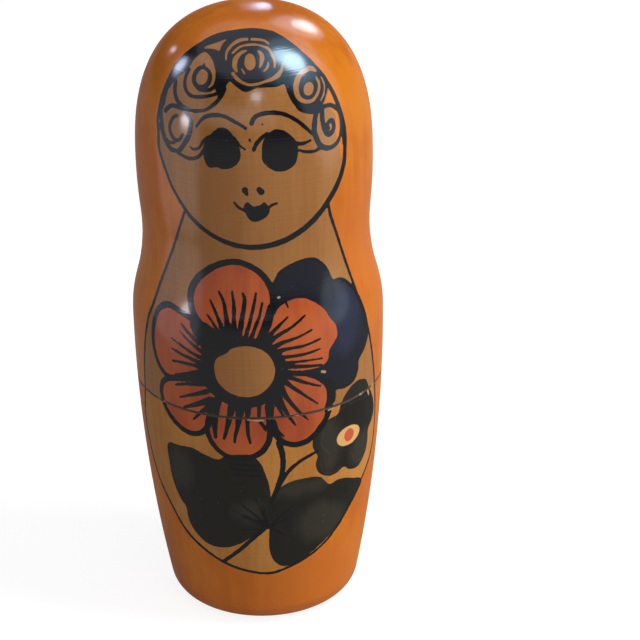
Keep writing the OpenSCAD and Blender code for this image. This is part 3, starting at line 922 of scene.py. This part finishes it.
def paintedWood(half):
    # dyed wood, then the painted areas in the order of the brush, then wear, all under a coat of lacquer
    material, tree, shader = newMaterial("lacqueredPaintedWood_" + half)
    f, look = woodFinish, paintLook
    grain = woodGrain(tree)
    marks = turningMarks(tree)
    clouds = noise(tree, "clouds")
    streaks = noise(tree, "streaks")
    wobble = maths(tree, "MULTIPLY_ADD", noise(tree, "brushEdge"), look["wobble"], -look["wobble"] / 2)

    def area(name):
        # 1 inside a painted area and 0 outside, with a soft and slightly uneven edge
        soft = look["softerEdges"].get(name, look["softEdge"])
        return ramp(tree, maths(tree, "ADD", attribute(tree, name), wobble), soft, -soft)

    def streaked(share, steps):
        # clouds of colour with streaks along the brush
        return ramp(tree, maths(tree, "MULTIPLY_ADD", streaks, look[share], clouds), *look[steps])

    def thinPaintAndSheen(name):
        # 1 where the brush left less colour, made uneven by the streaks; on the blue flower this lighter
        # area is also a painted sheen
        distance = maths(tree, "SUBTRACT", attribute(tree, name), look["thinReach"])
        uneven = maths(tree, "MULTIPLY_ADD", streaks, look["streaksInThin"], distance)
        return ramp(tree, uneven, *look[name])

    tone = blend(tree, grain, marks, look["grainInTone"])
    # the half's own wood tones; the lower half's are lighter also as painted light
    wood = layer(tree, ramp(tree, tone, *look["woodSteps"]), f[half][1], f[half][0])
    dye = layer(tree, streaked("streaksInDye", "dyeSteps"), f["dyeDeep"], f["dye"])
    dye = layer(tree, ramp(tree, noise(tree, "redness"), *look["redSteps"]), dye, f["dyeRed"])
    dye = layer(tree, ramp(tree, tone, *look["dyeInGrain"]), dye, f["dyeDeep"])
    petal = layer(tree, streaked("streaksInPetal", "petalSteps"), f["petalDeep"], f["petal"])
    # the blue flower, lighter and bluer in one area as thin paint and a painted sheen
    blue = layer(tree, thinPaintAndSheen("thinBlueAndSheen"), f["blue"], f["blueThinAndSheen"])
    green = layer(tree, thinPaintAndSheen("thinGreen"), f["green"], f["greenThin"])

    def paintOver(colour, areas):
        # painted areas one over another
        for name, paint in areas.items():
            colour = layer(tree, area(name), colour, paint)
        return colour

    colour = paintOver(dye, {"bareWood": wood, "blueFlower": blue, "redPetal": petal, "greenLeaf": green})
    colour = layer(tree, maths(tree, "MULTIPLY", area("paleLine"), look["paleLine"]), colour, f["worn"])
    colour = paintOver(colour, {"yellowEye": f["yellow"], "redPupil": f["red"], "ink": f["ink"]})
    dark = maths(tree, "MAXIMUM", area("blueFlower"), area("greenLeaf"))
    dark = maths(tree, "MAXIMUM", area("ink"), dark)
    flecks = ramp(tree, noise(tree, "flecks"), *look["fleckSteps"])
    colour = layer(tree, maths(tree, "MULTIPLY", dark, flecks), colour, f["worn"])

    # chips beside the join and elsewhere, and grime along it
    joinGap = attribute(tree, "joinGap")
    chipReach = maths(tree, "MULTIPLY_ADD", noise(tree, "chips"), *look["chipNoise"])
    chips = ramp(tree, maths(tree, "SUBTRACT", joinGap, chipReach), *look["chipSteps"])
    colour = layer(tree, maths(tree, "MAXIMUM", chips, area("chipped")), colour, f["chip"])
    colour = layer(tree, ramp(tree, joinGap, *look["grimeSteps"]), colour, f["grime"])

    ridges = blend(tree, marks, grain, look["marksInRidges"])
    bump = addNode(tree, "ShaderNodeBump", {"Height": ridges, **look["bump"]}).outputs[0]
    feed(tree, shader, {
        "Base Color": colour, "Roughness": ramp(tree, tone, *look["roughness"]),
        "Specular IOR Level": look["specular"], "Normal": bump, "Coat Normal": bump,
        "Coat Weight": f["lacquer"][half], "Coat Roughness": f["lacquerRoughness"],
        "Coat IOR": f["lacquerIor"],
    })
    return material


bareLook = {
    "grainInTone": 0.75,
    "toneSteps": (0.36, 0.66),
    "roughness": (0.3, 0.7, 0.7, 0.52),
    "bump": {"Strength": 0.35, "Distance": 0.0006},
    "specular": 0.3,
}


def bareTurnedWood():
    # the bores and spigots: grain and turning marks without paint
    material, tree, shader = newMaterial("bareTurnedWood")
    f, look = woodFinish, bareLook
    grain = woodGrain(tree)
    marks = turningMarks(tree)
    tone = ramp(tree, blend(tree, grain, marks, look["grainInTone"]), *look["toneSteps"])
    bump = addNode(tree, "ShaderNodeBump", {"Height": marks, **look["bump"]}).outputs[0]
    feed(tree, shader, {
        "Base Color": layer(tree, tone, f["insideDark"], f["inside"]), "Normal": bump,
        "Roughness": ramp(tree, grain, *look["roughness"]), "Specular IOR Level": look["specular"],
    })
    return material


edgeLook = {"rubbedSteps": (0.56, 0.68, 0.0, 0.8), "roughness": (0.0, 1.0, 0.8, 0.6), "specular": 0.2}


def grimyEdge():
    # the broken edges of the join: old dirt, rubbed pale here and there
    material, tree, shader = newMaterial("grimyJoinEdge")
    f, look = woodFinish, edgeLook
    rubbed = ramp(tree, noise(tree, "rubbing"), *look["rubbedSteps"])
    feed(tree, shader, {
        "Base Color": layer(tree, rubbed, f["grime"], f["chip"]),
        "Roughness": ramp(tree, rubbed, *look["roughness"]), "Specular IOR Level": look["specular"],
    })
    return material


sharedFinishes = [bareTurnedWood(), grimyEdge()]
finishes = {half: [paintedWood(half)] + sharedFinishes for half in ("lower", "upper")}
print("finishes made")


def addPiece(node, form, half):
    # a doll stands and is sized as its own CAD nodes are
    number = int(node.split("_")[1])
    parts = [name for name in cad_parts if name.startswith("doll_%d_" % number)]
    boxes = [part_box(name) for name in parts]
    low, high = min(box[0].z for box in boxes), max(box[1].z for box in boxes)
    wide = max(box[1].x for box in boxes)
    mesh = turnedMesh(node + "_painted", form, wide / mm / dollShape["bellyRadius"],
                      (high - low) / mm / dollShape["height"], low, finishes[half])
    piece = bpy.data.objects.new(node + "_painted", mesh)
    bpy.context.scene.collection.objects.link(piece)
    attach(piece, node)
    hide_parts(node)


for size, dolls in (("outer", [1]), ("inner", range(2, dollCount))):
    fineness = meshFineness[size]
    lowerForm = turnedForm(lowerProfile(fineness), fineness)
    upperForm = turnedForm(upperProfile(fineness), fineness)
    for number in dolls:
        addPiece("doll_%d_lower_half" % number, lowerForm, "lower")
        addPiece("doll_%d_upper_half" % number, upperForm, "upper")
    print(size, "dolls turned and painted")
solidForm = turnedForm(solidProfile(meshFineness["inner"]), meshFineness["inner"])
addPiece("doll_%d_solid" % dollCount, solidForm, "upper")
print("solid doll turned and painted")

# Floor, light and camera

studio = {
    "floorSize": 60.0,
    "floorColour": (0.36, 0.36, 0.36, 1),
    "floorRoughness": 1.0,
    "floorSpecular": 0.0,
    "glowColour": (1, 1, 1, 1),
    "floorGlow": 0.84,        # seen by the camera and in reflections only
    "airColour": (0.25, 0.255, 0.27, 1),
    "middle": Vector((0, 0, dollShape["height"] * mm / 2)),
}
# lamps: degrees round from the front (right is positive), degrees up, metres away from the doll's middle,
# width, height, radiance, colour
lamps = {
    "window": (72, 54, 1.0, 0.34, 0.34, 17.0, (0.95, 0.98, 1.0)),
}
# walls that light the doll and don't show in the lacquer
walls = {
    "sideWall": (86, 3, 1.2, 1.2, 0.8, 2.2, (1.0, 0.97, 0.93)),
    "lowWall": (66, -8, 0.28, 0.18, 0.07, 4.0, (1.0, 0.97, 0.93)),
    "room": (15, 25, 1.4, 1.6, 1.2, 1.2, (1.0, 0.97, 0.92)),
    "leftWall": (-60, 20, 1.3, 1.0, 0.8, 0.42, (1.0, 0.97, 0.93)),
}
# panes that show in the lacquer only: small bright ones, then broad dim ones
panes = {
    "windowPane": (72, 57, 1.0, 0.36, 0.58, 52.0, (0.52, 0.80, 1.0)),
    "behindRight": (149, 38, 1.0, 0.27, 0.28, 36.0, (0.74, 0.88, 1.0)),
    "behind": (178, 21, 1.2, 0.05, 0.16, 66.0, (0.50, 0.72, 1.0)),
    "left": (-104, 32, 1.2, 0.21, 0.28, 60.0, (0.66, 0.74, 1.0)),
    "leftCurl": (-69, 6.0, 1.2, 0.18, 0.11, 80.0, (0.9, 0.88, 1.0)),
    "leftCrown": (-131, 25, 1.2, 0.045, 0.045, 170.0, (0.85, 0.92, 1.0)),
    "forehead": (4, 33, 1.4, 0.22, 0.16, 40.0, (0.62, 0.80, 1.0)),
    "ceiling": (0, 92, 1.5, 2.6, 3.0, 2.4, (0.82, 0.86, 1.0)),
    "front": (-18, 17, 1.4, 2.2, 0.40, 3.0, (0.74, 0.87, 1.0)),
    "windowGlow": (72, 57, 1.05, 1.25, 1.05, 5.5, (0.35, 0.68, 1.0)),
    "behindGlow": (149, 41, 1.05, 0.58, 0.56, 8.0, (0.40, 0.75, 1.0)),
    "leftCard": (-76, 12, 0.2, 0.20, 0.45, 2.2, (0.70, 0.80, 1.0)),
    "rightCard": (73, 30, 0.25, 0.20, 0.40, 3.2, (0.72, 0.87, 1.0)),
}


def addFloor():
    # a level square that takes the doll's shadow and looks white
    half = studio["floorSize"] / 2
    corners = [(-half, -half, 0), (half, -half, 0), (half, half, 0), (-half, half, 0)]
    mesh = bpy.data.meshes.new("floor")
    mesh.from_pydata(corners, [], [(0, 1, 2, 3)])
    material, tree, shader = newMaterial("paleFloor")
    path = addNode(tree, "ShaderNodeLightPath", {})
    seen = maths(tree, "MAXIMUM", path.outputs["Is Glossy Ray"], path.outputs["Is Transmission Ray"])
    seen = maths(tree, "MAXIMUM", path.outputs["Is Camera Ray"], seen)
    feed(tree, shader, {
        "Base Color": studio["floorColour"], "Roughness": studio["floorRoughness"],
        "Specular IOR Level": studio["floorSpecular"], "Emission Color": studio["glowColour"],
        "Emission Strength": maths(tree, "MULTIPLY", seen, studio["floorGlow"]),
    })
    mesh.materials.append(material)
    floor = bpy.data.objects.new("floor", mesh)
    bpy.context.scene.collection.objects.link(floor)


def addLamp(name, around, up, away, width, height, radiance, colour, lights=True, shows=True):
    # an oval lamp of even brightness on a sphere round the doll: power is radiance times pi times area
    a, e = math.radians(around), math.radians(up)
    direction = Vector((math.sin(a) * math.cos(e), -math.cos(a) * math.cos(e), math.sin(e)))
    lamp = bpy.data.lights.new(name, "AREA")
    lamp.shape = "ELLIPSE"
    lamp.size, lamp.size_y = width, height
    lamp.energy = radiance * math.pi * width * height * math.pi / 4
    lamp.color = colour
    thing = bpy.data.objects.new(name, lamp)
    thing.location = studio["middle"] + direction * away
    thing.rotation_mode = "QUATERNION"
    thing.rotation_quaternion = (-direction).to_track_quat("-Z", "Y")
    thing.visible_diffuse, thing.visible_glossy, thing.visible_camera = lights, shows, False
    bpy.context.scene.collection.objects.link(thing)


# distances in metres, angles in degrees, lens and sensor in millimetres
cameraView = {
    "distance": 0.720,
    "elevation": 23.57,
    "roll": 1.46,
    "lens": 148.7,
    "sensor": 36.0,
    "aimRight": 0.01673,
    "aimDown": 0.0042,
    "nearest": 0.01,
    "farthest": 200.0,
}


def addCamera():
    # looks from the front and above, aimed a little beside the doll and rolled as the picture is
    view = cameraView
    e, roll = math.radians(view["elevation"]), math.radians(view["roll"])
    forward = Vector((0, math.cos(e), -math.sin(e)))
    right, up = Vector((1, 0, 0)), Vector((0, math.sin(e), math.cos(e)))
    place = studio["middle"] - view["distance"] * forward
    back = (place - (studio["middle"] + right * view["aimRight"] - up * view["aimDown"])).normalized()
    side = (up * math.cos(roll) + right * math.sin(roll)).cross(back).normalized()
    turn = Matrix((side, back.cross(side), back)).transposed().to_4x4()
    data = bpy.data.cameras.new("camera")
    data.sensor_width, data.lens = view["sensor"], view["lens"]
    data.clip_start, data.clip_end = view["nearest"], view["farthest"]
    camera = bpy.data.objects.new("camera", data)
    camera.matrix_world = Matrix.Translation(place) @ turn
    bpy.context.scene.collection.objects.link(camera)
    bpy.context.scene.camera = camera


def addAir():
    # even light from all round
    world = bpy.data.worlds.new("air")
    world.use_nodes = True
    world.node_tree.nodes["Background"].inputs["Color"].default_value = studio["airColour"]
    bpy.context.scene.world = world


addFloor()
for lampName, settings in lamps.items():
    addLamp(lampName, *settings)
for wallName, settings in walls.items():
    addLamp(wallName, *settings, shows=False)
for paneName, settings in panes.items():
    addLamp(paneName, *settings, lights=False)
addCamera()
addAir()
bpy.context.scene.view_settings.view_transform = "Standard"
print("floor, lamps and camera set")
